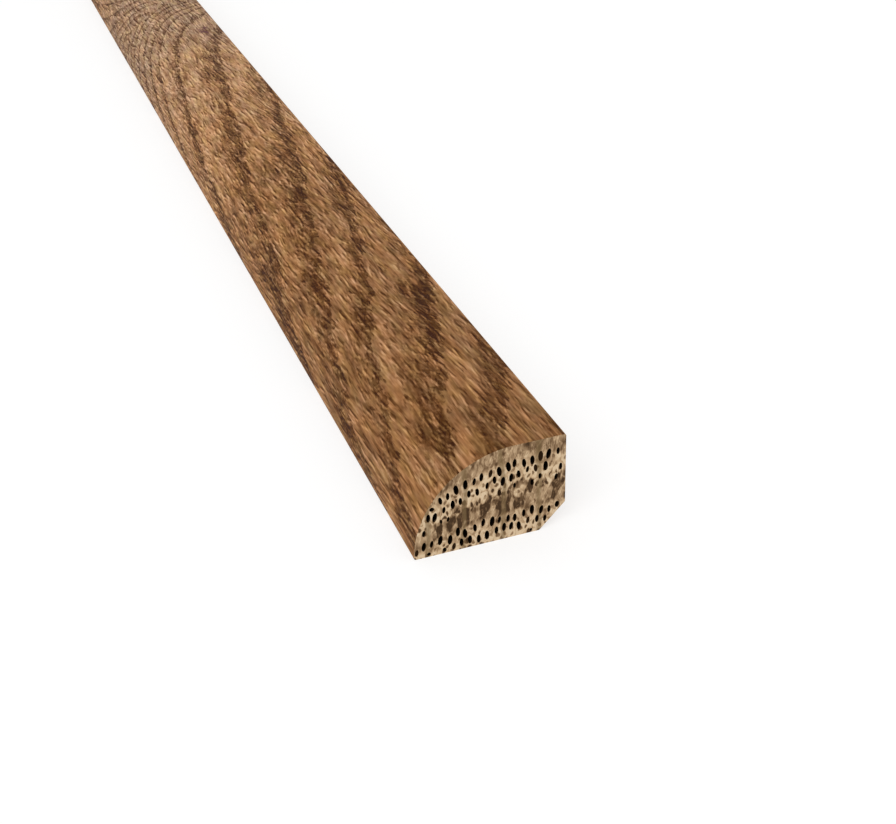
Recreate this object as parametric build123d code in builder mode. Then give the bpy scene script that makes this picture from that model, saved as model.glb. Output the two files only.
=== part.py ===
"""One stick of shoe moulding, milled from a single length of solid oak.

The stick lies on its wide back, as it would on a bench or a shop floor. Seen from its end, the wide
back is the base of the section, the narrow back stands upright on the right, and the rounded nose
falls away to the left until it meets the base square on, at the toe. In a room the stick is turned
up: the wide back goes against the baseboard and the narrow back on the floor, so the hidden corner
between them is cut away at 45 degrees to clear whatever lies in that joint.

X runs across the section towards the narrow back, Y along the stick and Z up from the wide back.
The origin is the middle of the stick's bounding box on the plane of the wide back. Sizes are in
millimetres.
"""

import os

from build123d import *

# Driving dimensions
length = 1981.2  # one stick as sold, 78 in
width = 19.05  # across the wide back and its relief, 3/4 in
height = 12.7  # up the narrow back and its relief, 1/2 in
ledge = 6.35  # flat stretch of the show face, from the narrow back to the nose, 1/4 in
relief = 3.3  # each leg of the 45 degree cut along the hidden corner
arris = 0.25  # sanded radius along every sharp corner of the section

# Places in the section that follow from them
toe_x = -width / 2
back_x = width / 2
nose_start_x = back_x - ledge
nose_reach = nose_start_x - toe_x


def section_outline():
    """The closed line round the section: base, relief, narrow back, ledge and nose."""
    with BuildLine() as outline:
        base = Line((toe_x, 0), (back_x - relief, 0))
        cut = Line(base @ 1, (back_x, relief))
        narrow_back = Line(cut @ 1, (back_x, height))
        Line(narrow_back @ 1, (nose_start_x, height))
        EllipticalCenterArc((nose_start_x, 0), nose_reach, height, start_angle=90, arc_size=90)
    return outline.line


def moulding_stick():
    """The section with its sanded corners, run the whole length from the far end to the near one."""
    with BuildPart() as stick:
        with BuildSketch(Plane.XZ.offset(-length / 2)) as section:
            add(section_outline())
            make_face()
            # The nose runs into the ledge with no corner there, so that point is left alone.
            nose_start = section.vertices().sort_by_distance((nose_start_x, height))[:1]
            fillet(section.vertices() - nose_start, radius=arris)
        extrude(amount=length)
    return stick.part


shoe_moulding = moulding_stick()
shoe_moulding.label = "shoe_moulding"

os.makedirs("parts", exist_ok=True)
export_step(shoe_moulding, "parts/shoe_moulding.step")
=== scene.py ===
"""A stick of oak shoe moulding, stained and wire-brushed on its show face and bare elsewhere.

The stick lies on its wide back along Y. Its toe, where the nose meets the floor, is at -X.
Lengths are in metres, written as numbers of millimetres times MM, unless a comment says otherwise.
"""

import math
import random
from functools import partial

import bmesh
import bpy
import numpy as np
from mathutils import Matrix, Vector


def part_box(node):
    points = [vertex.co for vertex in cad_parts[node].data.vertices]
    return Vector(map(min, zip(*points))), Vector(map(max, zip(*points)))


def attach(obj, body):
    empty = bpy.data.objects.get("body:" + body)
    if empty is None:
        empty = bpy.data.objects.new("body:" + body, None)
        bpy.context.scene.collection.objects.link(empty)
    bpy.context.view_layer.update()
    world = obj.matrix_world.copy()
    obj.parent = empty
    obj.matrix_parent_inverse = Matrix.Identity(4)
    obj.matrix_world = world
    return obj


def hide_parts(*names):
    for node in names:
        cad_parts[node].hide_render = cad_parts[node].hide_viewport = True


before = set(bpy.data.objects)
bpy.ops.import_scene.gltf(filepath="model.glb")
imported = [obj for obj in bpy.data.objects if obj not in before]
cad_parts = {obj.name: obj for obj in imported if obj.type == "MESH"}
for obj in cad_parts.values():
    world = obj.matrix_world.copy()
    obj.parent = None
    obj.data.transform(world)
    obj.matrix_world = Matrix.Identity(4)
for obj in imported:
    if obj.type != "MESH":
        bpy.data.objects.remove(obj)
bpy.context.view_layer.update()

MM = 0.001

# The stick's own sizes, from the frame
NODE = "shoe_moulding"
box_low, box_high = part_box(NODE)
LENGTH = box_high[1] - box_low[1]
HEIGHT = box_high[2] - box_low[2]
BACK_X = box_high[0]
TOE_X = -BACK_X
WIDTH = BACK_X - TOE_X
NEAR_Y = -LENGTH / 2
FAR_Y = LENGTH / 2

# The section's other sizes, as the moulder's cutters leave them
LEDGE = 6.35 * MM  # flat part of the show face, beside the narrow back
RELIEF = 3.3 * MM  # each leg of the cut along the hidden corner
ARRIS = 0.25 * MM  # sanded radius along the sharp corners
NOSE_RADIUS = WIDTH - LEDGE
NOSE_X = TOE_X + NOSE_RADIUS  # where the nose runs into the ledge
SHOW_WIDTH = NOSE_RADIUS * math.pi / 2 + LEDGE  # round the nose and over the ledge

# How finely the stick is divided
NOSE_SEGMENTS = 36
ARRIS_SEGMENTS = 3
LEDGE_SEGMENTS = 8
ROW_CUTS = (24, 20)  # the length is divided by the first number, then each part by the second
SMOOTH_BELOW = math.radians(28)  # an edge that turns more than this stays sharp to the eye

SAME_PLACE = 0.001 * MM  # two points this close are at one place
WELD = 0.005 * MM  # two points this close are made one
SQUARELY = 0.99  # share of an edge or a normal along an axis that counts as lying along it


def select_none():
    """Puts Blender in object mode with nothing selected."""
    if bpy.context.object and bpy.context.object.mode != "OBJECT":
        bpy.ops.object.mode_set(mode="OBJECT")
    bpy.ops.object.select_all(action="DESELECT")


def pick(piece):
    """Makes one piece the only one selected, and the active one."""
    select_none()
    piece.select_set(True)
    bpy.context.view_layer.objects.active = piece


def start_editing(piece, mode):
    """Opens a piece in edit mode with nothing selected, picking by VERT, EDGE or FACE."""
    pick(piece)
    bpy.ops.object.mode_set(mode="EDIT")
    bpy.ops.mesh.select_mode(type=mode)
    bpy.ops.mesh.select_all(action="DESELECT")


def select_edges(piece, wanted):
    """In edit mode, selects just the edges that wanted(one end, other end) says yes to."""
    mesh = bmesh.from_edit_mesh(piece.data)
    for edge in mesh.edges:
        edge.select_set(wanted(edge.verts[0].co, edge.verts[1].co))
    bmesh.update_edit_mesh(piece.data)


def runs_along(start, end):
    """True of an edge that runs along the stick."""
    step = end - start
    return abs(step.y) > SQUARELY * step.length


def crosses_ledge(start, end):
    """True of an edge that runs across the ledge, at an end of the stick."""
    return min(start.z, end.z) > HEIGHT - SAME_PLACE and abs(end.x - start.x) > LEDGE / 2


def at_corners(*corners):
    """Gives a test for the lengthwise edges at any of the corners, each an x and a z."""

    def wanted(start, end):
        return runs_along(start, end) and any(
            abs(start.x - x) < SAME_PLACE and abs(start.z - z) < SAME_PLACE for x, z in corners
        )

    return wanted


def milled_stick():
    """The stick as it leaves the moulder: nose rounded, hidden corner cut off, edges sanded."""
    bpy.ops.mesh.primitive_cube_add(
        size=1, location=(0, 0, HEIGHT / 2), scale=(WIDTH, LENGTH, HEIGHT)
    )
    stick = bpy.context.object
    stick.name = "oak_moulding"
    bpy.ops.object.transform_apply(location=True, rotation=True, scale=True)
    start_editing(stick, "EDGE")

    select_edges(stick, at_corners((TOE_X, HEIGHT)))
    bpy.ops.mesh.bevel(
        offset=NOSE_RADIUS, segments=NOSE_SEGMENTS, profile=0.5, clamp_overlap=False
    )
    bpy.ops.mesh.select_all(action="SELECT")
    bpy.ops.mesh.remove_doubles(threshold=WELD)
    bpy.ops.mesh.select_all(action="DESELECT")

    select_edges(stick, at_corners((BACK_X, 0)))
    bpy.ops.mesh.bevel(offset=RELIEF, segments=1)

    # An arris of the same radius is set back less from the relief's blunt corners than from the
    # square ones.
    select_edges(stick, at_corners((TOE_X, 0), (BACK_X, HEIGHT)))
    bpy.ops.mesh.bevel(offset=ARRIS, segments=ARRIS_SEGMENTS)
    select_edges(stick, at_corners((BACK_X - RELIEF, 0), (BACK_X, RELIEF)))
    bpy.ops.mesh.bevel(offset=ARRIS * math.tan(math.pi / 8), segments=ARRIS_SEGMENTS)

    select_edges(stick, crosses_ledge)
    bpy.ops.mesh.subdivide(number_cuts=LEDGE_SEGMENTS - 1)
    for parts in ROW_CUTS:
        select_edges(stick, runs_along)
        bpy.ops.mesh.subdivide(number_cuts=parts - 1)
    bpy.ops.mesh.select_all(action="SELECT")
    bpy.ops.mesh.normals_make_consistent(inside=False)
    bpy.ops.object.mode_set(mode="OBJECT")
    return stick


# The growth rings as the cut ends show them. Each ring is an arch, highest at one place across
# the stick, and its top is a step above the next ring's top.
RING_STEP = 7.3 * MM
RING_TOP = 10.4 * MM  # at the near end
RING_TOP_X = TOE_X + 15.75 * MM
RING_BEND = 4.2  # 1/m, how much a ring with its top at the floor bends down to its sides
RING_BEND_MORE = 1370.0  # 1/m2, how much more it bends for each metre that its top is higher
RING_CLIMB = 0.0098  # rise of a ring's top for each metre along the stick
RINGS_TRIED = range(-6, 12)  # all that can cross either cut end, and some more

# Open pores on the cut ends, drawn about three times their real size, as the photograph shows them
PORE_ROWS = (  # depth below the ring's line, half width, half height, share that are left out
    (0.0 * MM, 0.31 * MM, 0.70 * MM, 0.05),
    (1.6 * MM, 0.30 * MM, 0.66 * MM, 0.08),
    (3.0 * MM, 0.24 * MM, 0.46 * MM, 0.45),
)
PORE_SPACING = 1.04 * MM  # along a row
ROW_STARTS = (0.25, 0.75)  # in spacings, so that the pores of a row stand between the next row's
PORE_WALL = 0.08 * MM  # least wood between two open pores
PORE_SKIN = 0.09 * MM  # least wood between an open pore and the outside
PORE_LEAST = 0.4 * MM  # a pore that would be flatter than this is left out
PORE_STRAY = (0.15 * MM, 0.38 * MM)  # how far a pore may stand from its place, across and upright
PORE_SIZES = (0.75, 1.15)  # smallest and largest share of the size that its row gives
PORE_TRIES = (1, 0.8, 0.65)  # shares of that size in which it is tried, until it fits
PORE_LEAN = math.radians(11)  # at most, to either side
PORE_SIDES = 14
PORE_DEPTH = 2.2 * MM  # of a pore that isn't plugged
PORE_TAPER = 0.8  # width of a drill's inner end, as a share of its outer end's
PORE_FILLED = 0.14  # share of the pores that are plugged
PLUG_DEPTH = 0.08 * MM  # how far in the plug begins
PORE_SEEDS = ((NEAR_Y, 11), (FAR_Y, 12))  # what each end's random draws start from


def ring_height(x, y, ring):
    """Height of one ring's line at x, where ring 0 is the upper one at the near end."""
    top = RING_TOP - ring * RING_STEP + RING_CLIMB * (y - NEAR_Y)
    return top - (RING_BEND + RING_BEND_MORE * top) * (x - RING_TOP_X) ** 2


def section_top(x):
    """Height of the show face over x."""
    if x >= NOSE_X:
        return HEIGHT
    return math.sqrt(max(0, NOSE_RADIUS**2 - (NOSE_X - x) ** 2))


def section_bottom(x):
    """Height of the base, or of the relief, over x."""
    return max(0, x - (BACK_X - RELIEF))


def fit_inside(x, z, half_wide, half_high):
    """Middle height and half height of a pore once it is pressed inside the section."""
    sides = (x - half_wide, x, x + half_wide)
    top = min(z + half_high, min(section_top(side) for side in sides) - PORE_SKIN)
    bottom = max(z - half_high, max(section_bottom(side) for side in sides) + PORE_SKIN)
    return (top + bottom) / 2, (top - bottom) / 2


def clear_of(pore, other):
    """True if two pores have wood between them."""
    wide = pore[2] + other[2] + PORE_WALL
    high = pore[3] + other[3] + PORE_WALL
    return ((pore[0] - other[0]) / wide) ** 2 + ((pore[1] - other[1]) / high) ** 2 > 1


def fitted_pore(x, line, half_wide, half_high, size, others):
    """The largest pore tried that fits: its x, z, half width and half height, or None."""
    for share in PORE_TRIES:
        shrunk = size * share
        wide = half_wide * shrunk
        z, high = fit_inside(x, line, wide, half_high * shrunk)
        pore = (x, z, wide, high)
        fits = 2 * high > PORE_LEAST and x + wide < BACK_X - PORE_SKIN
        if fits and all(clear_of(pore, other) for other in others):
            return pore
    return None


def pore_places(y, seed):
    """Lists each open pore of a cut end: x, z, half width, half height, lean and depth."""
    draw = random.Random(seed)
    places = []
    for ring in RINGS_TRIED:
        for row, (below, half_wide, half_high, gaps) in enumerate(PORE_ROWS):
            start = TOE_X + PORE_SPACING * ROW_STARTS[row % 2]
            for number in range(int(WIDTH / PORE_SPACING) + 1):
                x = start + number * PORE_SPACING + draw.uniform(-1, 1) * PORE_STRAY[0]
                line = ring_height(x, y, ring) - below + draw.uniform(-1, 1) * PORE_STRAY[1]
                size = draw.uniform(*PORE_SIZES)
                lean = draw.uniform(-PORE_LEAN, PORE_LEAN)
                depth = PLUG_DEPTH if draw.random() < PORE_FILLED else PORE_DEPTH
                if draw.random() < gaps:
                    continue
                pore = fitted_pore(x, line, half_wide, half_high, size, places)
                if pore:
                    places.append((*pore, lean, depth))
    return places


def pore_drills(y, seed):
    """One mesh of oval drills that stand in a cut end, one for each open pore."""
    select_none()
    bpy.ops.mesh.primitive_cylinder_add(
        vertices=PORE_SIDES, radius=1, depth=2, rotation=(math.pi / 2, 0, 0)
    )
    pattern = bpy.context.object
    bpy.ops.object.transform_apply(location=False, rotation=True, scale=False)
    start_editing(pattern, "FACE")
    mesh = bmesh.from_edit_mesh(pattern.data)
    inward = -1 if y > 0 else 1
    for face in mesh.faces:
        face.select_set(face.normal.y * inward > SQUARELY)
    bmesh.update_edit_mesh(pattern.data)
    bpy.ops.transform.resize(value=(PORE_TAPER, 1, PORE_TAPER))
    bpy.ops.object.mode_set(mode="OBJECT")

    drills = []
    for x, z, half_wide, half_high, lean, depth in pore_places(y, seed):
        drill = pattern.copy()
        drill.data = pattern.data.copy()
        bpy.context.collection.objects.link(drill)
        drill.matrix_world = (
            Matrix.Translation((x, y, z))
            @ Matrix.Rotation(lean, 4, "Y")
            @ Matrix.Diagonal((half_wide, depth, half_high, 1))
        )
        drills.append(drill)
    bpy.data.objects.remove(pattern)
    select_none()
    for drill in drills:
        drill.select_set(True)
    bpy.context.view_layer.objects.active = drills[0]
    bpy.ops.object.join()
    joined = bpy.context.object
    bpy.ops.object.transform_apply(location=True, rotation=True, scale=True)
    return joined


def open_pores(stick, y, seed):
    """Cuts one end's open pores into the stick. The drills give the hollows their painted shade."""
    drills = pore_drills(y, seed)
    for material in stick.data.materials:
        drills.data.materials.append(material)
    drills.data.polygons.foreach_set("material_index", [HOLLOW] * len(drills.data.polygons))
    pick(stick)
    cut = stick.modifiers.new("open_pores", "BOOLEAN")
    cut.operation = "DIFFERENCE"
    cut.solver = "EXACT"
    cut.object = drills
    bpy.ops.object.modifier_apply(modifier=cut.name)
    bpy.data.objects.remove(drills)


# The figure of the show face, in millimetres along from the near end and across from the toe. The
# ring lines cross the face in curves that climb from the toe towards the narrow back up to a
# pointed crown, and fall again behind it. How far a curve has dropped below a crown follows from
# its distance to the crown.
CROWNS = (  # distance of each from the near end, and how far its rings stay below the first's
    (216.0, 0.0),
    (662.0, 17.0),
    (1050.0, -6.0),
    (1472.0, 12.0),
    (1868.0, 3.0),
)
CROWN_STEEPNESS = 1.93  # how much steeper a curve is right beside its crown
CROWN_REACH = 13.3  # distance over which most of that is lost
SIDE_SLOPE = 0.136  # slope of the curves from there on
SIDE_SLOPE_MORE = 0.19  # how much steeper they grow, from SIDE_START on and over SIDE_SPAN
SIDE_START = 97.8
SIDE_SPAN = 120.0
VALLEY_ROUNDING = 5.0  # how softly the curves of two crowns run into each other

# A ring line's place is minus its distance across where it meets the first crown. The first six
# lines, measured in the photograph, would only meet it beyond the edge of the face.
FIRST_LINE = -77.9
LINE_STEPS = (9.0, 6.8, 8.7, 9.9, 5.6)  # from each of those lines to the next
STEP_BEFORE = 8.0  # between the lines before those
STEP_AFTER = 3.4  # from the last of them to the next
STEP_GROWTH = 1.11  # how much wider each step after that is
LINES_MORE = 20  # lines added on each side, enough to cover the whole face
CROWDING_START = len(LINE_STEPS) - 0.5  # ring lines passed where they begin to crowd
CROWDING_SPAN = 2.5  # and over how many more lines they come close together

SOAKED_PLACES = (  # where the stain soaked in deepest: along, across, half length and half width
    (6, 18.0, 8, 2.0),
    (22, 2.5, 7, 1.6),
    (38, 22.8, 9, 2.4),
    (66, 4.5, 12, 2.6),
    (79, 16.5, 6, 1.6),
    (96, 12.4, 6, 1.6),
    (112, 12.4, 9, 1.8),
    (147, 12.6, 8, 1.6),
    (157, 17.2, 9, 2.6),
)
PIN_KNOTS = ((188, 22.3, 3.4, 1.2),)  # small purplish knots, placed and sized in the same way

# What the stick's points store of the figure, for the stained finish to read
FIGURE = ("rings_passed", "ring_crowding", "rings_at_middle", "stain_soaked_in", "pin_knot")


def drop_from_crown(distance):
    """How far a ring's curve lies below a crown, at a distance from it along the stick."""
    curl = CROWN_STEEPNESS * CROWN_REACH * (1 - np.exp(-distance / CROWN_REACH))
    share = np.clip((distance - SIDE_START) / SIDE_SPAN, 0, 1)
    past = np.maximum(distance - SIDE_START - SIDE_SPAN, 0)
    spread = SIDE_SPAN * (share**3 - share**4 / 2) + past
    return curl + SIDE_SLOPE * distance + SIDE_SLOPE_MORE * spread


def rings_passed(across, along):
    """How many ring lines, and which part of the next step, lie from the first line to a point."""
    climbs = [-drop_from_crown(abs(along - place)) - lower for place, lower in CROWNS]
    highest = np.max(climbs, axis=0)
    rounded = sum(np.exp((climb - highest) / VALLEY_ROUNDING) for climb in climbs)
    climb = highest + VALLEY_ROUNDING * np.log(rounded)
    lines = FIRST_LINE + np.cumsum((0,) + LINE_STEPS)
    before = lines[0] - STEP_BEFORE * np.arange(LINES_MORE, 0, -1)
    after = lines[-1] + np.cumsum(STEP_AFTER * STEP_GROWTH ** np.arange(LINES_MORE))
    places = np.concatenate([before, lines, after])
    return np.interp(climb - across, places, np.arange(len(places)) - len(before))


def ring_crowding(rings):
    """From 0 where the ring lines lie wide apart to 1 where they crowd together below a crown."""
    return np.clip((rings - CROWDING_START) / CROWDING_SPAN, 0, 1)


def nearness(places, across, along):
    """From 1 in the middle of a place, such as a knot, to 0 far from all of them."""
    nearest = np.zeros_like(along)
    for middle_along, middle_across, half_length, half_width in places:
        away = np.hypot(
            (along - middle_along) / half_length,
            (across - middle_across) / half_width,
        )
        nearest = np.maximum(nearest, np.exp(-(away**2)))
    return nearest


def lay_out_figure(stick):
    """Gives the stick its grain map, in millimetres across and along, and its figure."""
    mesh = stick.data
    coordinates = np.empty(len(mesh.vertices) * 3)
    mesh.vertices.foreach_get("co", coordinates)
    x, y, z = coordinates.reshape(-1, 3).T
    turn = np.arctan2(np.maximum(z, 0), np.maximum(NOSE_X - x, 0))
    across = (NOSE_RADIUS * turn + np.maximum(x - NOSE_X, 0)) / MM
    along = (y - NEAR_Y) / MM

    passed = rings_passed(across, along)
    middle = np.full_like(along, SHOW_WIDTH / MM / 2)
    values = (
        passed,
        ring_crowding(passed),
        rings_passed(middle, along),
        nearness(SOAKED_PLACES, across, along),
        nearness(PIN_KNOTS, across, along),
    )
    for name, value in zip(FIGURE, values):
        mesh.attributes.new(name, "FLOAT", "POINT").data.foreach_set("value", value)

    corners = np.empty(len(mesh.loops), dtype=int)
    mesh.loops.foreach_get("vertex_index", corners)
    while mesh.uv_layers:
        mesh.uv_layers.remove(mesh.uv_layers[0])
    grain_map = mesh.uv_layers.new(name="grain")
    grain_map.data.foreach_set("uv", np.stack([across[corners], along[corners]], 1).ravel())


def srgb(code):
    """Turns a colour written as #rrggbb into linear values for Blender."""
    values = [int(code[i : i + 2], 16) / 255 for i in (1, 3, 5)]
    linear = [v / 12.92 if v <= 0.04045 else ((v + 0.055) / 1.055) ** 2.4 for v in values]
    return (*linear, 1.0)


def add(tree, kind, links=None, stops=None, **settings):
    """Adds a node with its settings, and the stops of its ramp if it has one.

    links gives each input's value, or the node or output that it reads.
    """
    node = tree.nodes.new(kind)
    for name, value in settings.items():
        setattr(node, name, value)
    for name, value in (links or {}).items():
        if isinstance(value, bpy.types.Node):
            value = value.outputs[0]
        if isinstance(value, bpy.types.NodeSocket):
            tree.links.new(value, node.inputs[name])
        else:
            node.inputs[name].default_value = value
    if stops:
        ramp = node.color_ramp
        while len(ramp.elements) < len(stops):
            ramp.elements.new(0.5)
        for element, (place, colour) in zip(ramp.elements, stops):
            element.position = place
            element.color = srgb(colour) if isinstance(colour, str) else (colour,) * 3 + (1,)
    return node


def new_material(name):
    """Starts a material without nodes: gives it, and a way to add nodes to it."""
    material = bpy.data.materials.new(name)
    material.use_nodes = True
    material.node_tree.nodes.clear()
    return material, partial(add, material.node_tree)


PATTERN_STEP = (7.3, 3.1, 5.7)  # how far each streaky pattern is moved from the one before it


def streaks(add_node, place, sizes):
    """Adds streaky patterns. sizes gives each one's size on the axes of place, and its detail.

    Each pattern runs from 0 to 1 and differs from the others of its call. The same sizes at a
    place moved aside give the same patterns, moved aside.
    """
    patterns = {}
    for number, (name, (*size, detail)) in enumerate(sizes.items()):
        spot = add_node(
            "ShaderNodeMapping",
            {
                "Vector": place,
                "Location": [step * number for step in PATTERN_STEP],
                "Scale": [1 / length for length in size],
            },
        )
        patterns[name] = add_node(
            "ShaderNodeTexNoise",
            {"Vector": spot, "Scale": 1.0, "Detail": detail, "Roughness": 0.6},
        )
    return patterns


def weigh(add_node, base, shares):
    """Adds to base each pattern in its share."""
    total = base
    for pattern, share in shares:
        total = add_node(
            "ShaderNodeMath",
            {0: pattern, 1: share, 2: total},
            operation="MULTIPLY_ADD",
        )
    return total


def blend(add_node, base, shares):
    """Adds to base each pattern in its share, about its middle, so that base stays the mean."""
    return weigh(add_node, base - 0.5 * sum(share for _, share in shares), shares)


# Patterns of the show face: size across and along the grain in millimetres, then 1, then detail.
# A real oak pore is about 0.3 mm wide and a brush mark finer still, which the render can't show.
# So the finest patterns are drawn coarser, 0.4 to 0.8 mm wide.
CLOUDS = {
    "sway": (9.0, 30.0, 1, 1.0),
    "drift": (5.0, 26.0, 1, 2.0),
    "tone": (3.0, 18.0, 1, 2.0),
    "fade": (3.0, 11.0, 1, 1.0),
    "width": (3.5, 16.0, 1, 1.0),
    "warmth": (1.6, 6.0, 1, 2.0),
    "hue": (1.2, 4.5, 1, 1.0),
}
# Patterns drawn as painted relief shade: a painted shaded groove beside a painted lit fibre
PAINTED_RELIEF = {"lines": (0.5, 4.0, 1, 1.0), "crinkle": (0.63, 1.35, 1, 1.0)}
HAIRS = {
    "hairs": (0.44, 2.5, 1, 1.0),
    "fibres": (0.50, 9.0, 1, 2.0),
    "ropes": (1.6, 8.0, 1, 1.5),
    "strokes": (0.80, 2.6, 1, 2.0),
    "ragged": (0.7, 3.0, 1, 2.0),
    "spots": (1.4, 3.4, 1, 1.0),
}
BRUSH_SWAY = (2.4, 0.0, 0.0)  # millimetres that the hairs sway across
BRUSH_SLANT = -0.05  # radians, of the hairs against the stick's run
PAINTED_LIGHT_ASIDE = (0.28, 0.12, 0.0)  # millimetres from each painted shaded groove to the painted lit fibre beside it
PAINTED_RELIEF_EDGE = 0.06  # how far below its limit a pattern shows in full, as painted shade and painted light


def brushed_patterns(node):
    """Adds the show face's patterns by name, and again with _beside for the painted lit fibres."""
    grain = node("ShaderNodeUVMap", uv_map="grain")
    clouds = streaks(node, grain, CLOUDS)
    combed = node("ShaderNodeMapping", {"Vector": grain, "Rotation": (0, 0, BRUSH_SLANT)})
    combed = node(
        "ShaderNodeVectorMath",
        {0: clouds["sway"], 1: BRUSH_SWAY, 2: combed},
        operation="MULTIPLY_ADD",
    )
    hairs = streaks(node, combed, PAINTED_RELIEF | HAIRS)
    beside = node("ShaderNodeVectorMath", {0: combed, 1: PAINTED_LIGHT_ASIDE}, operation="ADD")
    twins = {f"{name}_beside": twin for name, twin in streaks(node, beside, PAINTED_RELIEF).items()}
    return clouds | hairs | twins


def painted_relief_shade(node, pattern, name, limit, dark, light):
    """Adds painted relief shade: shade where a pattern is below its limit, and light beside it."""
    edge = {"From Min": limit, "From Max": limit - PAINTED_RELIEF_EDGE, "To Min": 0.0}
    shaded_groove = node("ShaderNodeMapRange", {"Value": pattern[name], "To Max": dark, **edge})
    lit_fibre = node(
        "ShaderNodeMapRange",
        {"Value": pattern[f"{name}_beside"], "To Max": light, **edge},
    )
    return node("ShaderNodeMath", {0: shaded_groove, 1: lit_fibre}, operation="ADD")


def pore_bands(node, figure, pattern):
    """Adds the bands of pores along the ring lines, from 0 between two bands to 1 in a full one.

    A band starts sharply on the side of the narrow back, with a strong row of pores. A weaker row
    follows and thins out towards the toe. Near a crown the bands are narrower and less frayed,
    and where the stain soaked in they are wider.
    """
    frayed = blend(node, 0.06, ((pattern["ragged"], 0.42), (pattern["drift"], 0.5)))
    calmer = weigh(node, 1.0, ((figure["ring_crowding"], -0.2), (figure["paler"], -0.35)))
    passed = node(
        "ShaderNodeMath",
        {0: frayed, 1: calmer, 2: figure["rings_passed"]},
        operation="MULTIPLY_ADD",
    )
    part = node("ShaderNodeMath", {0: passed}, operation="FRACT")
    uneven = node(
        "ShaderNodeMapRange",
        {"Value": pattern["width"], "From Min": 0.3, "From Max": 0.7, "To Min": 0.78, "To Max": 1.4},
    )
    narrower = weigh(
        node,
        1.0,
        (
            (figure["paler"], 0.25),
            (figure["ring_crowding"], 0.1),
            (figure["stain_soaked_in"], -0.42),
        ),
    )
    narrowing = node("ShaderNodeMath", {0: uneven, 1: narrower}, operation="MULTIPLY")
    band = node(
        "ShaderNodeValToRGB",
        {"Fac": node("ShaderNodeMath", {0: part, 1: narrowing}, operation="MULTIPLY")},
        stops=(
            (0.0, 0.0),
            (0.04, 1.0),
            (0.2, 1.0),
            (0.3, 0.5),
            (0.42, 0.6),
            (0.55, 0.2),
            (0.7, 0.05),
            (0.9, 0.0),
        ),
    )
    strength = node(
        "ShaderNodeMapRange",
        {"Value": pattern["fade"], "From Min": 0.3, "From Max": 0.6, "To Min": 0.78, "To Max": 1.0},
    )
    weaker = node(
        "ShaderNodeMapRange",
        {"Value": figure["ring_crowding"], "To Min": 1.0, "To Max": 0.9},
    )
    for share in (strength, weaker):
        band = node("ShaderNodeMath", {0: band, 1: share}, operation="MULTIPLY")
    return band


def pore_strokes(node, band, pattern):
    """Adds the open pores as strokes full of stain: crowded inside a band, few outside it."""
    limit = node("ShaderNodeMath", {0: band, 1: 0.24, 2: 0.3}, operation="MULTIPLY_ADD")
    below = node("ShaderNodeMath", {0: limit, 1: pattern["strokes"]}, operation="SUBTRACT")
    return node("ShaderNodeMapRange", {"Value": below, "From Min": -0.05, "From Max": 0.05})


def stained_lightness(node, figure, pattern, band, pores):
    """Adds how light the stained wood is, from 0 in a full pore to 1 on the palest fibre.

    The bands hold dark spots and curls of painted relief shade, and the wood between them hairs,
    fibres and lines of painted relief shade. Near a crown the wood is paler, but its bands and
    fibres stand out more.
    """
    spots = node(
        "ShaderNodeMapRange",
        {"Value": pattern["spots"], "From Min": 0.5, "From Max": 0.6, "To Min": 0.0, "To Max": -0.07},
    )
    # Curls and lines are painted relief shade: a painted shaded groove beside a painted lit fibre.
    shaded_curls = painted_relief_shade(node, pattern, "crinkle", 0.45, -0.2, 0.19)
    in_band = weigh(node, shaded_curls, ((spots, 1.0), (figure["stain_soaked_in"], -0.04)))
    in_band = node("ShaderNodeMath", {0: in_band, 1: band}, operation="MULTIPLY")

    lines = painted_relief_shade(node, pattern, "lines", 0.43, -0.2, 0.16)
    hairy = blend(node, 0.02, ((pattern["hairs"], 0.5), (pattern["fibres"], 0.7)))
    fibres_and_relief_shade = node("ShaderNodeMath", {0: hairy, 1: lines}, operation="ADD")
    boost = node(
        "ShaderNodeMapRange",
        {
            "Value": figure["rings_at_middle"],
            "From Min": 0.5,
            "From Max": 3.0,
            "To Min": 1.0,
            "To Max": 1.36,
        },
    )
    stain = node("ShaderNodeMapRange", {"Value": figure["paler"], "To Min": -0.135, "To Max": -0.21})
    light = blend(node, 0.509, ((pattern["ropes"], 0.44), (pattern["tone"], 0.14)))
    return weigh(
        node,
        light,
        (
            (band, stain),
            (pores, -0.14),
            (in_band, 1.0),
            (figure["paler"], 0.18),
            (figure["ring_crowding"], -0.04),
            (fibres_and_relief_shade, boost),
        ),
    )


def stained_colour(node, figure, pattern, light):
    """Adds the stain's brown, greyer near a crown, in faint clouds of other tints."""
    brown = node(
        "ShaderNodeValToRGB",
        {"Fac": light},
        stops=(
            (0.0, "#3c1c06"),
            (0.2, "#553313"),
            (0.4, "#775231"),
            (0.6, "#a0754f"),
            (0.8, "#c69870"),
            (1.0, "#e6b98e"),
        ),
    )
    grey_brown = node(
        "ShaderNodeValToRGB",
        {"Fac": light},
        stops=(
            (0.0, "#30160e"),
            (0.2, "#52311d"),
            (0.4, "#72523b"),
            (0.6, "#97775f"),
            (0.8, "#bb9b80"),
            (1.0, "#dfbd9e"),
        ),
    )
    greyer = node(
        "ShaderNodeMapRange",
        {"Value": figure["rings_at_middle"], "From Min": 3.0, "From Max": 5.0},
    )
    colour = node("ShaderNodeMix", {0: greyer, 6: brown, 7: grey_brown}, data_type="RGBA").outputs[2]
    tints = {
        "warmth": ((0.34, "#fff9e8"), (0.5, "#fcfaf4"), (0.66, "#f6faff")),
        "hue": ((0.36, "#fff7f5"), (0.5, "#fffcf8"), (0.64, "#fcfeef")),
    }
    for name, stops in tints.items():
        tint = node("ShaderNodeValToRGB", {"Fac": pattern[name]}, stops=stops)
        colour = node(
            "ShaderNodeMix",
            {0: 1.0, 6: colour, 7: tint},
            data_type="RGBA",
            blend_type="MULTIPLY",
        ).outputs[2]
    return colour


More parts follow.
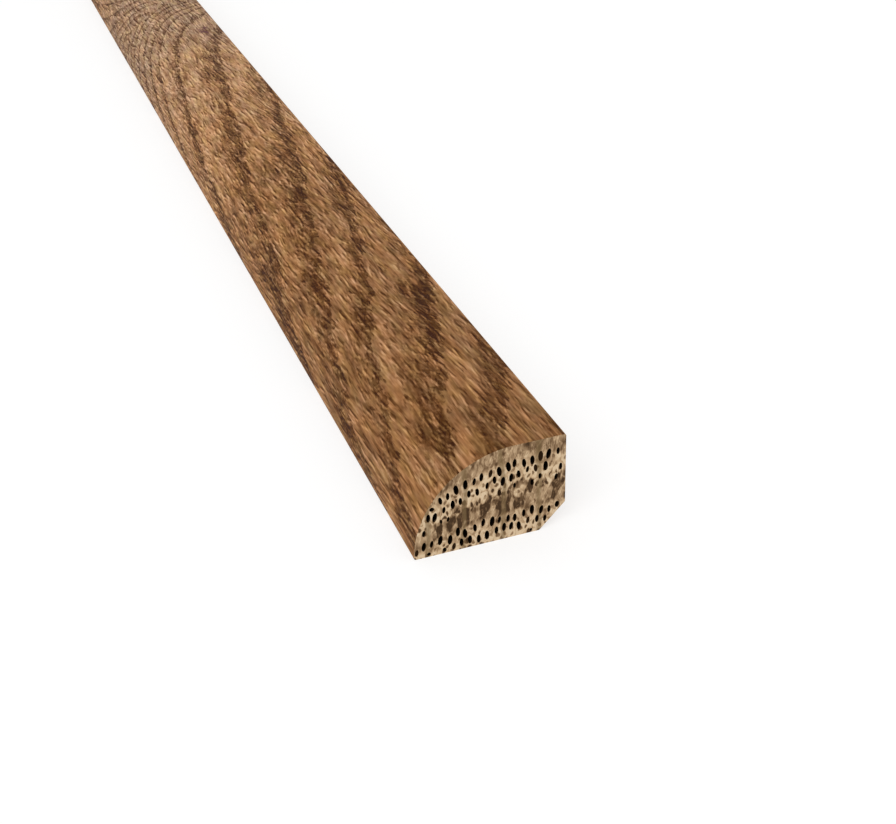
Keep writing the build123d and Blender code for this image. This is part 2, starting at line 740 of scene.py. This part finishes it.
def with_pin_knots(node, figure, pattern, colour):
    """Adds the pin knots over a colour: purplish, with a ragged edge."""
    ragged = node(
        "ShaderNodeMapRange",
        {"Value": pattern["ragged"], "From Min": 0.36, "From Max": 0.62},
    )
    near = node("ShaderNodeMath", {0: ragged, 1: figure["pin_knot"]}, operation="MULTIPLY")
    knot = node(
        "ShaderNodeMapRange",
        {"Value": near, "From Min": 0.1, "From Max": 0.4, "To Min": 0.0, "To Max": 0.95},
    )
    return node(
        "ShaderNodeMix",
        {0: knot, 6: colour, 7: srgb("#643c3c")},
        data_type="RGBA",
    ).outputs[2]


def stained_oak():
    """Oak, wire-brushed and stained brown: the brush opens the pores and combs out soft wood.

    The stain gathers in the pores, so each ring shows as a band of short dark strokes, and fine
    light and dark hairs run along the grain everywhere. The finish is thin and nearly matt.
    """
    material, node = new_material("stained_wire_brushed_oak")
    figure = {
        name: node("ShaderNodeAttribute", attribute_name=name).outputs["Fac"] for name in FIGURE
    }
    # Near a crown the wood is drawn paler.
    figure["paler"] = node(
        "ShaderNodeMapRange",
        {"Value": figure["rings_at_middle"], "From Min": 2.4, "From Max": 3.8},
        interpolation_type="SMOOTHSTEP",
    )
    pattern = brushed_patterns(node)
    band = pore_bands(node, figure, pattern)
    pores = pore_strokes(node, band, pattern)
    light = stained_lightness(node, figure, pattern, band, pores)
    colour = stained_colour(node, figure, pattern, light)
    colour = with_pin_knots(node, figure, pattern, colour)
    depth = node(
        "ShaderNodeMath",
        {0: pores, 1: -0.8, 2: pattern["hairs"]},
        operation="MULTIPLY_ADD",
    )
    relief = node("ShaderNodeBump", {"Height": depth, "Strength": 0.7, "Distance": 0.1 * MM})
    shader = node(
        "ShaderNodeBsdfPrincipled",
        {"Base Color": colour, "Normal": relief, "Roughness": 0.65, "Specular IOR Level": 0.05},
    )
    node("ShaderNodeOutputMaterial", {"Surface": shader})
    return material


def ring_place(node):
    """Adds the rings of the cut ends: how many ring lines lie from the first down to a point.

    Gives the place in the solid wood, in millimetres, and the rings.
    """
    solid = node("ShaderNodeTexCoord").outputs["Object"]
    x, y, z = node("ShaderNodeSeparateXYZ", {0: solid}).outputs
    aside = node("ShaderNodeMath", {0: x, 1: RING_TOP_X}, operation="SUBTRACT")
    square = node("ShaderNodeMath", {0: aside, 1: aside}, operation="MULTIPLY")
    raised = node("ShaderNodeMath", {0: square, 1: RING_BEND, 2: z}, operation="MULTIPLY_ADD")
    shrink = node(
        "ShaderNodeMath",
        {0: square, 1: -RING_BEND_MORE, 2: 1.0},
        operation="MULTIPLY_ADD",
    )
    top = node("ShaderNodeMath", {0: raised, 1: shrink}, operation="DIVIDE")
    first = RING_TOP - RING_CLIMB * NEAR_Y
    start = node("ShaderNodeMath", {0: y, 1: RING_CLIMB, 2: first}, operation="MULTIPLY_ADD")
    below = node("ShaderNodeMath", {0: start, 1: top}, operation="SUBTRACT")
    rings = node("ShaderNodeMath", {0: below, 1: RING_STEP}, operation="DIVIDE")
    millimetres = node("ShaderNodeMapping", {"Vector": solid, "Scale": (1 / MM, 1 / MM, 1 / MM)})
    return millimetres, rings


# The sawn end, in millimetres across, upright and along. Its cells, strands and filled pores are
# drawn about three times their real size, as its open pores are.
CELLS = {
    "cells": (0.3, 0.6, 4, 2.0),
    "streak": (0.9, 2.2, 4, 1.0),
    "wander": (2.2, 1.4, 4, 1.0),
    "curl": (1.2, 1.6, 4, 1.5),
    "ray_wander": (3.0, 6.0, 4, 1.0),
}
LEANING_CELLS = {"flame": (0.85, 2.5, 4, 1.5), "strand": (0.6, 2.4, 4, 1.0)}
CELL_LEAN = 0.2  # radians
CELL_CURL = (0.9, 0.6, 0.0)  # how far the leaning cells are bent out of line
PORE_CURL = (1.35, 1.3, 0.0)  # how far the filled pores are bent out of line
FILLED_PORES = (0.95, 1.35)  # their spacing across and upright
FLAMES_FADE = (8.0, 10.0)  # heights between which the flames grow faint
RAY_X = TOE_X / MM + 6.4  # one of the wide rays
RAY_SPACING = 4.6


def brown_flames(node, part, z, cells, flame):
    """Adds the dense wood as flames with sharp edges, which are faint near the top."""
    flame = node("ShaderNodeMapRange", {"Value": flame, "From Min": 0.49, "From Max": 0.55})
    dense = node(
        "ShaderNodeValToRGB",
        {"Fac": part},
        stops=((0.3, 0.0), (0.44, 1.0), (0.84, 1.0), (0.94, 0.0)),
    )
    fade_from, fade_to = FLAMES_FADE
    low = node(
        "ShaderNodeMapRange",
        {"Value": z, "From Min": fade_from, "From Max": fade_to, "To Min": 1.0, "To Max": 0.3},
    )
    grainy = node(
        "ShaderNodeMapRange",
        {"Value": cells, "From Min": 0.3, "From Max": 0.7, "To Min": 1.3, "To Max": 0.8},
    )
    for share in (dense, low, grainy):
        flame = node("ShaderNodeMath", {0: flame, 1: share}, operation="MULTIPLY")
    return flame


def pale_strands(node, pattern):
    """Adds thin pale strands that wind between the cells, where a pattern is near its middle."""
    off_middle = node("ShaderNodeMath", {0: pattern, 1: 0.5}, operation="SUBTRACT")
    off_middle = node("ShaderNodeMath", {0: off_middle}, operation="ABSOLUTE")
    return node(
        "ShaderNodeMapRange",
        {"Value": off_middle, "From Min": 0.0, "From Max": 0.035, "To Min": 0.3, "To Max": 0.0},
    )


def filled_pores(node, part, curled):
    """Adds the filled pores: brown spots, below 0, each with a cream rim, above 0."""
    across, upright = FILLED_PORES
    columns = node("ShaderNodeMapping", {"Vector": curled, "Scale": (1 / across, 1 / upright, 1)})
    vessel = node(
        "ShaderNodeTexVoronoi",
        {"Vector": columns, "Scale": 1.0, "Randomness": 0.85},
        voronoi_dimensions="2D",
    ).outputs["Distance"]
    rimmed = node(
        "ShaderNodeValToRGB",
        {"Fac": vessel},
        stops=((0.0, 0.0), (0.17, 0.1), (0.25, 0.9), (0.5, 1.0), (0.62, 0.5), (0.75, 0.4)),
    )
    present = node(
        "ShaderNodeValToRGB",
        {"Fac": part},
        stops=((0.1, 0.5), (0.2, 1.0), (0.5, 1.0), (0.64, 0.0), (0.92, 0.0), (1.0, 0.5)),
    )
    rimmed = node("ShaderNodeMath", {0: rimmed, 1: 0.55}, operation="SUBTRACT")
    return node("ShaderNodeMath", {0: rimmed, 1: present}, operation="MULTIPLY")


def wide_rays(node, x, wander):
    """Adds the wide rays, which stand at even distances and wander a little."""
    from_ray = blend(node, -RAY_X, ((wander, 1.6),))
    from_ray = node("ShaderNodeMath", {0: x, 1: from_ray}, operation="ADD")
    count = node("ShaderNodeMath", {0: from_ray, 1: RAY_SPACING}, operation="DIVIDE")
    middle = node("ShaderNodeMath", {0: count, 1: 0.5}, operation="PINGPONG")
    return node(
        "ShaderNodeMapRange",
        {"Value": middle, "From Min": 0.04, "From Max": 0.09, "To Min": 0.65, "To Max": 0.0},
    )


def sawn_end_grain():
    """Oak sawn square across: arches of pale porous spring wood, and brown flames between them.

    Dull brown rays stand upright through it, and the small pores beside the open ones are filled.
    """
    material, node = new_material("sawn_oak_end_grain")
    millimetres, rings = ring_place(node)
    x, y, z = node("ShaderNodeSeparateXYZ", {0: millimetres}).outputs
    face = node("ShaderNodeCombineXYZ", {"X": x, "Y": z, "Z": y})
    wood = streaks(node, face, CELLS)
    curled, bent = [
        node(
            "ShaderNodeVectorMath",
            {0: wood["curl"].outputs["Color"], 1: reach, 2: face},
            operation="MULTIPLY_ADD",
        )
        for reach in (PORE_CURL, CELL_CURL)
    ]
    leaning = node("ShaderNodeMapping", {"Vector": bent, "Rotation": (0, 0, CELL_LEAN)})
    wood |= streaks(node, leaning, LEANING_CELLS)

    passed = blend(node, 0.0, ((wood["wander"], 0.3),))
    passed = node("ShaderNodeMath", {0: rings, 1: passed}, operation="ADD")
    part = node("ShaderNodeMath", {0: passed}, operation="FRACT")
    spring = node(
        "ShaderNodeValToRGB",
        {"Fac": part},
        stops=(
            (0.0, 1.0),
            (0.34, 1.0),
            (0.6, 0.5),
            (0.7, 0.3),
            (0.88, 0.2),
            (0.97, 0.7),
            (1.0, 1.0),
        ),
    )
    light = blend(node, 0.4, ((wood["cells"], 0.55), (wood["streak"], 1.2)))
    light = weigh(
        node,
        light,
        (
            (spring, 0.18),
            (brown_flames(node, part, z, wood["cells"], wood["flame"]), -0.49),
            (pale_strands(node, wood["strand"]), 1.0),
            (filled_pores(node, part, curled), 0.8),
        ),
    )
    tan = node(
        "ShaderNodeValToRGB",
        {"Fac": light},
        stops=(
            (0.0, "#44301c"),
            (0.2, "#694f35"),
            (0.4, "#8e7254"),
            (0.6, "#b49674"),
            (0.8, "#cbae89"),
            (1.0, "#dcc3a1"),
        ),
    )
    ray = wide_rays(node, x, wood["ray_wander"])
    colour = node("ShaderNodeMix", {0: ray, 6: tan, 7: srgb("#7a6342")}, data_type="RGBA").outputs[2]
    relief = node("ShaderNodeBump", {"Height": light, "Strength": 0.5, "Distance": 0.1 * MM})
    shader = node(
        "ShaderNodeBsdfPrincipled",
        {"Base Color": colour, "Normal": relief, "Roughness": 0.85, "Specular IOR Level": 0.15},
    )
    node("ShaderNodeOutputMaterial", {"Surface": shader})
    return material


# Planed oak, in millimetres across, along and upright, at its real size
PLANED = {
    "hairs": (0.2, 4.0, 0.2, 2.0),
    "pores": (0.3, 3.0, 0.3, 1.0),
    "wander": (4.0, 60.0, 4.0, 2.0),
    "tone": (3.0, 40.0, 3.0, 2.0),
}


def bare_oak():
    """Planed oak with no finish: pale tan, with the rings as bands of fine brown pore lines."""
    material, node = new_material("bare_planed_oak")
    millimetres, rings = ring_place(node)
    wood = streaks(node, millimetres, PLANED)
    passed = blend(node, 0.0, ((wood["wander"], 0.7), (wood["pores"], 0.2)))
    passed = node("ShaderNodeMath", {0: rings, 1: passed}, operation="ADD")
    part = node("ShaderNodeMath", {0: passed}, operation="FRACT")
    spring = node(
        "ShaderNodeValToRGB",
        {"Fac": part},
        stops=((0.0, 1.0), (0.15, 0.8), (0.4, 0.1), (0.6, 0.0), (0.94, 0.0), (1.0, 1.0)),
    )
    pore = node("ShaderNodeMapRange", {"Value": wood["pores"], "From Min": 0.44, "From Max": 0.36})
    pore = node("ShaderNodeMath", {0: pore, 1: spring}, operation="MULTIPLY")
    light = blend(node, 0.62, ((wood["hairs"], 0.8), (wood["tone"], 0.5)))
    light = weigh(node, light, ((spring, -0.14), (pore, -0.4)))
    tan = node(
        "ShaderNodeValToRGB",
        {"Fac": light},
        stops=((0.0, "#5f452c"), (0.3, "#8f6e4b"), (0.6, "#bd9b72"), (1.0, "#dfc39b")),
    )
    depth = node("ShaderNodeMath", {0: wood["hairs"], 1: pore}, operation="SUBTRACT")
    relief = node("ShaderNodeBump", {"Height": depth, "Strength": 0.4, "Distance": 0.08 * MM})
    shader = node(
        "ShaderNodeBsdfPrincipled",
        {"Base Color": tan, "Normal": relief, "Roughness": 0.7, "Specular IOR Level": 0.2},
    )
    node("ShaderNodeOutputMaterial", {"Surface": shader})
    return material


def pore_hollow():
    """The inside of an open pore: painted shade, near black deep in and brown at the mouth."""
    material, node = new_material("open_pore_hollow")
    solid = node("ShaderNodeTexCoord").outputs["Object"]
    y = node("ShaderNodeSeparateXYZ", {0: solid}).outputs["Y"]
    far = node("ShaderNodeMath", {0: y}, operation="ABSOLUTE")
    outward = node(
        "ShaderNodeMapRange",
        {"Value": far, "From Min": FAR_Y - PORE_DEPTH, "From Max": FAR_Y},
    )
    # painted shade: darker the further into the pore
    painted_pore_shade = node(
        "ShaderNodeValToRGB",
        {"Fac": outward},
        stops=((0.0, "#050301"), (0.8, "#0f0904"), (0.97, "#2a1c10"), (1.0, "#6b5238")),
    )
    shader = node(
        "ShaderNodeBsdfPrincipled",
        {"Base Color": painted_pore_shade, "Roughness": 0.95, "Specular IOR Level": 0.0},
    )
    node("ShaderNodeOutputMaterial", {"Surface": shader})
    return material


STAINED, BARE, SAWN, HOLLOW = range(4)
FINISHES_AND_PORE_SHADE = {STAINED: stained_oak, BARE: bare_oak, SAWN: sawn_end_grain, HOLLOW: pore_hollow}

# The stain ends partway round an arris: a face that turns further than this is bare.
BARE_TO_BACK = 0.7
BARE_TO_BASE = 0.5


def paint(stick):
    """Gives each face its finish, by the way it faces."""
    for polygon in stick.data.polygons:
        normal = polygon.normal
        if abs(normal.y) > SQUARELY:
            polygon.material_index = SAWN
        elif normal.x > BARE_TO_BACK or normal.z < -BARE_TO_BASE:
            polygon.material_index = BARE
        else:
            polygon.material_index = STAINED


def moulding():
    """The finished stick, which stands for the whole CAD part."""
    stick = milled_stick()
    for make_material in FINISHES_AND_PORE_SHADE.values():
        stick.data.materials.append(make_material())
    paint(stick)
    for end, seed in PORE_SEEDS:
        open_pores(stick, end, seed)
    lay_out_figure(stick)
    pick(stick)
    bpy.ops.object.shade_smooth_by_angle(angle=SMOOTH_BELOW)
    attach(stick, "root")
    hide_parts(NODE)


# The camera, from the photograph
PHOTO_WIDTH = 896  # pixels
FOCAL_PIXELS = 1356.6
SENSOR_WIDTH = 36  # millimetres
EYE_FROM_TOE = (-37.37, -120.07, 95.66)  # millimetres, from the toe's corner at the near end
EYE_TURN = math.radians(19.32)  # to the right of the stick's run
EYE_DIP = math.radians(31.08)  # below level
EYE_ROLL = math.radians(-1.81)

# The studio, in metres. A strength of 1 is white.
FLOOR_SIZE = 12
FLOOR_GLOW = 0.65  # what the camera sees beside the light that falls on the floor
SKY_LIGHT = 0.72  # what the sky casts, though it looks white
LAMP_SIZE = 1.2
LAMP_WATTS = 14
LAMP_AIM = Vector((0, NEAR_Y + 0.1, 0))
LAMP_FROM_AIM = Vector((-1.0, -1.1, 1.3))


def photo_camera():
    """The camera where the photograph was taken from."""
    data = bpy.data.cameras.new("photo_camera")
    data.sensor_width = SENSOR_WIDTH
    data.lens = SENSOR_WIDTH * FOCAL_PIXELS / PHOTO_WIDTH
    data.clip_start = 10 * MM
    eye = bpy.data.objects.new("photo_camera", data)
    bpy.context.collection.objects.link(eye)
    toe_corner = Vector((TOE_X, NEAR_Y, 0))
    eye.matrix_world = (
        Matrix.Translation(toe_corner + Vector(EYE_FROM_TOE) * MM)
        @ Matrix.Rotation(-EYE_TURN, 4, "Z")
        @ Matrix.Rotation(math.pi / 2 - EYE_DIP, 4, "X")
        @ Matrix.Rotation(EYE_ROLL, 4, "Z")
    )
    bpy.context.scene.camera = eye


def seen_as_background(add_node):
    """Adds 1 for what the camera sees, straight or in metal or glass, and 0 for light cast."""
    path = add_node("ShaderNodeLightPath").outputs
    seen = path["Is Camera Ray"]
    for ray in ("Is Glossy Ray", "Is Transmission Ray"):
        seen = add_node("ShaderNodeMath", {0: seen, 1: path[ray]}, operation="MAXIMUM")
    return seen


def studio_floor():
    """A plain white studio floor: it takes a soft shadow, and is white where the shadow ends."""
    bpy.ops.mesh.primitive_plane_add(size=FLOOR_SIZE, location=(0, 0, 0))
    ground = bpy.context.object
    ground.name = "studio_floor"
    material, node = new_material("white_studio_floor")
    seen = seen_as_background(node)
    glow = node("ShaderNodeMath", {0: seen, 1: FLOOR_GLOW}, operation="MULTIPLY")
    paint_colour = node(
        "ShaderNodeMix",
        {0: seen, 6: (0.9, 0.9, 0.9, 1), 7: (0.4, 0.4, 0.4, 1)},
        data_type="RGBA",
    ).outputs[2]
    shader = node(
        "ShaderNodeBsdfPrincipled",
        {
            "Base Color": paint_colour,
            "Roughness": 1.0,
            "Specular IOR Level": 0.0,
            "Emission Color": (1, 1, 1, 1),
            "Emission Strength": glow,
        },
    )
    node("ShaderNodeOutputMaterial", {"Surface": shader})
    ground.data.materials.append(material)


def studio_light():
    """Soft light from all round, white where the camera sees it, and one large soft lamp."""
    world = bpy.data.worlds.new("studio")
    bpy.context.scene.world = world
    world.use_nodes = True
    world.node_tree.nodes.clear()
    node = partial(add, world.node_tree)
    strength = node(
        "ShaderNodeMapRange",
        {"Value": seen_as_background(node), "To Min": SKY_LIGHT, "To Max": 1.0},
    )
    sky = node("ShaderNodeBackground", {"Color": (1, 1, 1, 1), "Strength": strength})
    node("ShaderNodeOutputWorld", {"Surface": sky})

    data = bpy.data.lights.new("window", "AREA")
    data.shape = "SQUARE"
    data.size = LAMP_SIZE
    data.energy = LAMP_WATTS
    lamp = bpy.data.objects.new("window", data)
    bpy.context.collection.objects.link(lamp)
    lamp.location = LAMP_AIM + LAMP_FROM_AIM
    lamp.rotation_euler = (-LAMP_FROM_AIM).to_track_quat("-Z", "Y").to_euler()


select_none()  # the CAD nodes are selected once they are loaded
moulding()
studio_floor()
studio_light()
photo_camera()
bpy.context.scene.view_settings.view_transform = "Standard"
